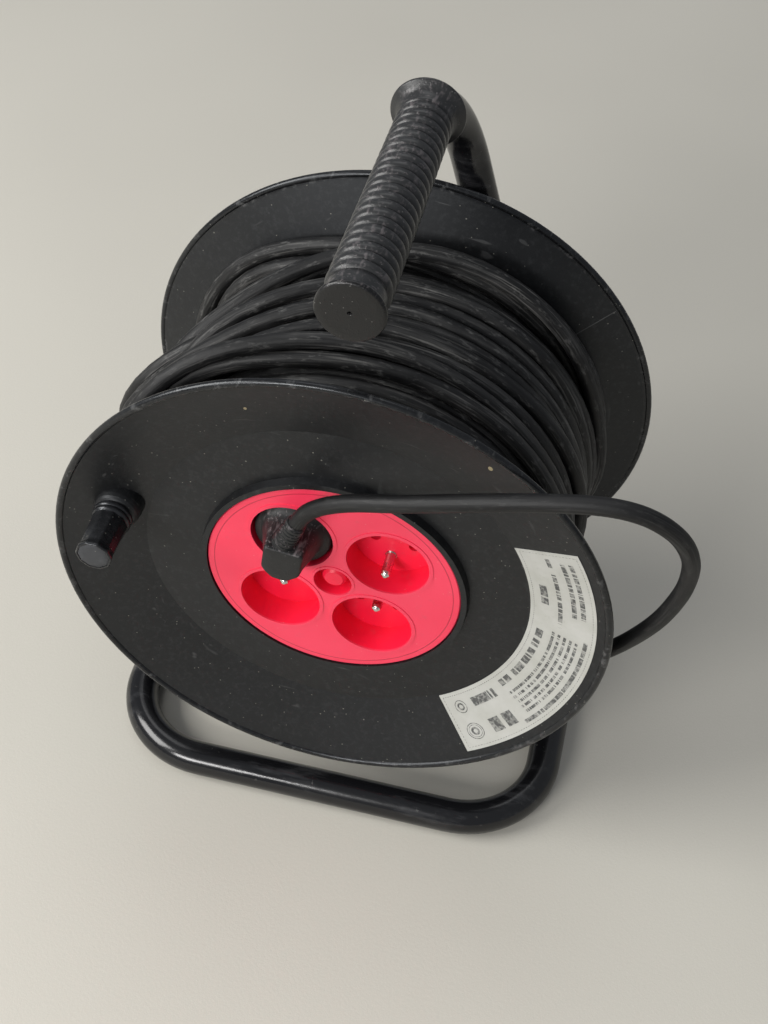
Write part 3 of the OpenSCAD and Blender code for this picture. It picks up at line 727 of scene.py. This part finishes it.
def cable_rubber():
    """Old black sheath: chalky streaks along the wound part, cleaner where it hangs free."""
    look = Look("cable_sheath", "grain")
    wound = look.span(look.axis("Z"), CABLE_LENGTH - 1.0, CABLE_LENGTH - 0.75, 1, 0.22)
    bands = look.noise(330, 3, 0.65, look.stretched((1, 1, 0.06)), 0.3)
    lines = look.noise(1100, 2, 0.6, look.stretched((1, 1, 0.025)))
    mottle = look.noise(420, 4, 0.7, look.stretched((1, 1, 0.35)))
    patch = look.noise(24, 4, 0.6, look.stretched((1, 1, 0.7)))
    chalk = look.both(look.span(bands, 0.46, 0.66), look.span(patch, 0.38, 0.62, 0.15, 1), wound)
    base = look.mix(look.math("MULTIPLY", chalk, 0.20), (0.0045, 0.0045, 0.005), (0.20, 0.198, 0.195))
    scuffs = look.both(look.span(lines, 0.54, 0.66), look.span(patch, 0.42, 0.60), wound)
    base = look.mix(look.math("MULTIPLY", scuffs, 0.20), base, (0.40, 0.39, 0.37))
    dusty = look.both(look.span(mottle, 0.56, 0.72), wound)
    base = look.mix(look.math("MULTIPLY", dusty, 0.22), base, (0.33, 0.325, 0.315))
    look.set(Base_Color=base, Roughness=look.span(patch, 0.3, 0.7, 0.44, 0.66),
             Specular_IOR_Level=0.34)
    look.bump(lines, 0.0001)
    look.bump(mottle, 0.00016)
    look.bump(look.noise(70, 2, 0.5, look.stretched((1, 1, 0.35))), 0.0003)
    return look


def red_plastic():
    """Pinkish face, dulled partly by dust and fading and partly by a painted sheen, with a grooved
    line near its edge darkened by painted shade; the recesses are a more saturated red, painted for
    light bounced inside them.
    """
    look = Look("red_plastic")
    cloud = look.noise(18, 4, 0.6)
    radius = look.polar()[0]
    face = look.math("LESS_THAN", look.axis("Y"), -PLATE_FRONT + 1 * MM)
    # Painted light: the face colour is partly dust and fading and partly a painted sheen, and the
    # recess colour is a more saturated red painted for the light bounced inside the recesses.
    faded_face_and_sheen = look.mix(look.span(cloud, 0.3, 0.7), (0.84, 0.034, 0.085), (0.88, 0.050, 0.108))
    recess_bounce_red = look.mix(look.span(cloud, 0.3, 0.7), (0.84, 0.008, 0.042), (0.90, 0.014, 0.060))
    base = look.mix(face, recess_bounce_red, faded_face_and_sheen)
    # Painted shade: the fine grooved line near the plate's edge is darkened as if in shade, besides
    # being bumped in.
    groove_and_shade = look.both(look.inside(radius, 57.9 * MM, 58.4 * MM), face)
    base = look.mix(look.math("MULTIPLY", groove_and_shade, 0.55), base, (0.30, 0.01, 0.025))
    grime = look.span(look.noise(150, 4, 0.7), 0.58, 0.74, 0, 0.22)
    base = look.mix(grime, base, (0.55, 0.10, 0.12))
    dust = specks(look, 700, 0.18, 0.03)
    base = look.mix(look.math("MULTIPLY", dust, 0.3), base, (0.8, 0.5, 0.45))
    look.set(Base_Color=base, Roughness=look.span(cloud, 0.3, 0.7, 0.32, 0.44))
    look.bump(look.math("MULTIPLY", groove_and_shade, -1.0), 0.0002)
    look.bump(look.noise(1100, 2), 0.00002)
    return look


def metal(name, shade, rough):
    look = Look(name)
    cloud = look.noise(120, 4, 0.6)
    base = look.mix(look.span(cloud, 0.35, 0.7), tuple(c * 0.8 for c in shade), shade)
    look.set(Base_Color=base, Metallic=1.0,
             Roughness=look.span(cloud, 0.3, 0.7, rough - 0.08, rough + 0.1))
    look.bump(look.noise(900, 2, 0.5, look.stretched((1, 0.2, 1))), 0.000012)
    return look


def pale_plastic(name, shade, rough=0.5):
    look = Look(name)
    cloud = look.noise(60, 4, 0.6)
    base = look.mix(look.span(cloud, 0.3, 0.75), shade, tuple(c * 0.82 for c in shade))
    look.set(Base_Color=base, Roughness=rough)
    look.bump(look.noise(700, 2), 0.00002)
    return look


def label_film():
    """Printed film: a thin dashed border, and plain bars and rings where print would be."""
    look = Look("label_film")
    radius, angle = look.polar()
    inner, outer = 93.9 * MM, 126 * MM
    first, last = math.radians(-53), math.radians(29.5)
    length_mm = (last - first) * 110
    along = look.math("DIVIDE", look.math("SUBTRACT", angle, first), last - first)
    across = look.math("DIVIDE", look.math("SUBTRACT", radius, inner), outer - inner)
    arc_mm = look.math("MULTIPLY", along, length_mm)

    def bars(a0, a1, c0, c1, rows, fill, rate, cut):
        """Rows of broken bars in a field of the label, in parts of its length and width."""
        field = look.both(look.inside(along, a0, a1), look.inside(across, c0, c1))
        row = look.math("MULTIPLY", look.math("SUBTRACT", across, c0), rows / (c1 - c0))
        stripe = look.math("LESS_THAN", look.math("FRACT", row), fill)
        where = look.point(look.math("MULTIPLY", arc_mm, rate),
                           look.math("MULTIPLY", look.math("FLOOR", row), 7.3), a0 * 50)
        broken = look.math("GREATER_THAN", look.noise(1.0, 0, 0.5, where), cut)
        return look.both(field, stripe, broken)

    def ring(a, c, size, thick):
        """An outlined circle, size and thick in millimetres."""
        da = look.math("MULTIPLY", look.math("SUBTRACT", along, a), length_mm)
        dc = look.math("MULTIPLY", look.math("SUBTRACT", across, c), (outer - inner) / MM)
        return look.inside(look.far(da, dc), size - thick, size + thick)

    def block(a0, a1):
        """A plain dark rectangle near the outer edge."""
        return look.both(look.inside(along, a0, a1), look.inside(across, 0.58, 0.82))

    from_sides = look.math("MINIMUM", across, look.math("SUBTRACT", 1.0, across))
    from_ends = look.math("MINIMUM", along, look.math("SUBTRACT", 1.0, along))
    edge = look.math("MINIMUM", from_sides, look.math("MULTIPLY", from_ends, 4.9))
    line = look.inside(edge, 0.050, 0.060)
    dash = look.math("LESS_THAN", look.math("FRACT", look.math(
        "ADD", look.math("MULTIPLY", arc_mm, 0.62), look.math("MULTIPLY", across, 19.0))), 0.62)
    print_marks = look.either(
        look.both(line, dash, 0.75),
        bars(0.27, 0.62, 0.13, 0.27, 1, 0.78, 0.55, 0.40),
        bars(0.27, 0.64, 0.36, 0.80, 5, 0.50, 1.1, 0.42),
        bars(0.24, 0.66, 0.83, 0.92, 1, 0.70, 0.8, 0.38),
        bars(0.75, 0.84, 0.17, 0.31, 1, 0.80, 0.8, 0.42),
        bars(0.67, 0.97, 0.42, 0.53, 1, 0.62, 0.9, 0.40),
        bars(0.74, 0.96, 0.63, 0.90, 2, 0.55, 0.9, 0.40),
        bars(0.115, 0.225, 0.17, 0.36, 1, 0.80, 0.45, 0.42),
        ring(0.062, 0.26, 3.4, 0.22), ring(0.062, 0.26, 1.6, 0.5),
        ring(0.062, 0.70, 4.4, 0.22), ring(0.062, 0.70, 3.4, 0.15), ring(0.062, 0.70, 1.7, 0.6),
        block(0.125, 0.165), block(0.18, 0.22))
    wear = look.noise(420, 4, 0.65)
    faded = look.both(print_marks, look.span(wear, 0.62, 0.45, 0.35, 0.9))
    stain = look.noise(55, 4, 0.6)
    base = look.mix(look.span(stain, 0.35, 0.75), (0.46, 0.46, 0.435), (0.38, 0.38, 0.345))
    base = look.mix(look.span(wear, 0.62, 0.74, 0, 0.3), base, (0.25, 0.245, 0.22))
    base = look.mix(faded, base, (0.025, 0.027, 0.03))
    look.set(Base_Color=base, Roughness=look.span(stain, 0.3, 0.7, 0.34, 0.5))
    look.bump(look.noise(90, 3), 0.00008)
    return look


flange_look = black_plastic("satin_black_plastic", rim=True)
plain_look = black_plastic("plain_black_plastic", 0.012, 0.40, 0.3)
knob_look = black_plastic("knob_plastic", 0.010, 0.2, 0.5)
disc_look = black_plastic("knob_disc_plastic", 0.036, 0.5, 0.6)
enamel = gloss_enamel()
grip_look = rubber("grip_rubber", 0.021, 0.30, 0.40, grip_low.y + 2 * MM)
plug_look = rubber("plug_rubber", 0.009, 0.5, 0.6)
cable_look = cable_rubber()
red_look = red_plastic()
zinc = metal("zinc_plate", (0.62, 0.63, 0.64), 0.32)
nickel = metal("nickel", (0.72, 0.71, 0.68), 0.22)
brass = metal("brass", (0.72, 0.52, 0.24), 0.3)
spring_steel = metal("spring_steel", (0.40, 0.40, 0.42), 0.35)
terminal_look = pale_plastic("terminal_plastic", (0.72, 0.72, 0.68))
bush_look = pale_plastic("bush_plastic", (0.70, 0.67, 0.58))
cutout_look = pale_plastic("cutout_case", (0.05, 0.04, 0.035))
label_look = label_film()

coat(cable, cable_look)
coat(grip, grip_look)
coat(knob, knob_look)
coat(knob_disc, disc_look)
paint(enamel, "frame_tube", "axle_plate")
paint(flange_look, "front_flange", "rear_flange", "drum_core")
paint(plain_look, "tube_cap", "contact_cover")
paint(plug_look, "inner_lead")
coat(plug, plug_look)
coat(relief, plug_look)
paint(red_look, "socket_plate", "reset_button")
paint(zinc, "plate_screws", "axle", "axle_nut", "axle_washers", "flange_screws", "crank_pin",
      "cover_screws", "clamp_screws")
paint(nickel, "earth_pins", "plug_pins")
paint(brass, "contact_sleeves", "live_bar", "neutral_bar", "earth_bar")
paint(spring_steel, "axle_clip", "reset_spring")
paint(terminal_look, "terminal_block", "lead_clamp")
paint(bush_look, "hub_bush")
paint(cutout_look, "thermal_cutout")
paint(label_look, "rating_label")


# ---------------------------------------------------------------- floor and light

def floor_look():
    look = Look("floor_paint")
    cloud = look.noise(1.6, 3, 0.5)
    grain = look.noise(620, 4, 0.75)
    base = look.mix(look.span(cloud, 0.35, 0.65), (0.55, 0.525, 0.465), (0.60, 0.575, 0.51))
    base = look.mix(look.span(grain, 0.3, 0.75, 0, 0.10), base, (0.42, 0.40, 0.36))
    look.set(Base_Color=base, Roughness=0.62)
    look.bump(grain, 0.00012)
    return look


FLOOR_HALF = 3.0


def make_floor():
    half = FLOOR_HALF
    mesh = bpy.data.meshes.new("floor")
    mesh.from_pydata([(-half, -half, 0), (half, -half, 0), (half, half, 0), (-half, half, 0)], [],
                     [(0, 1, 2, 3)])
    floor = bpy.data.objects.new("floor", mesh)
    scene.collection.objects.link(floor)
    coat(floor, floor_look())


def area_light(name, at, aim, size, power, tint=(1, 1, 1)):
    data = bpy.data.lights.new(name, "AREA")
    data.shape = "RECTANGLE"
    data.size, data.size_y = size
    data.energy = power
    data.color = tint
    light = bpy.data.objects.new(name, data)
    light.location = at
    light.rotation_euler = (Vector(aim) - Vector(at)).to_track_quat("-Z", "Y").to_euler()
    scene.collection.objects.link(light)


def make_light():
    world = bpy.data.worlds.new("room")
    scene.world = world
    world.use_nodes = True
    background = world.node_tree.nodes["Background"]
    background.inputs["Color"].default_value = (0.80, 0.84, 0.90, 1)
    background.inputs["Strength"].default_value = 0.335
    area_light("window", (-1.9, -0.75, 1.5), (0, 0, 0.1), (1.4, 1.1), 50, (1, 0.99, 0.965))
    area_light("front", (-0.9, -2.1, 1.3), (0, 0, 0.1), (1.0, 0.5), 36, (1, 0.99, 0.97))
    area_light("ceiling", (-0.3, 0.9, 2.4), (0, 0, 0.1), (1.6, 1.2), 9)
    scene.view_settings.view_transform = "Standard"


make_floor()
make_light()
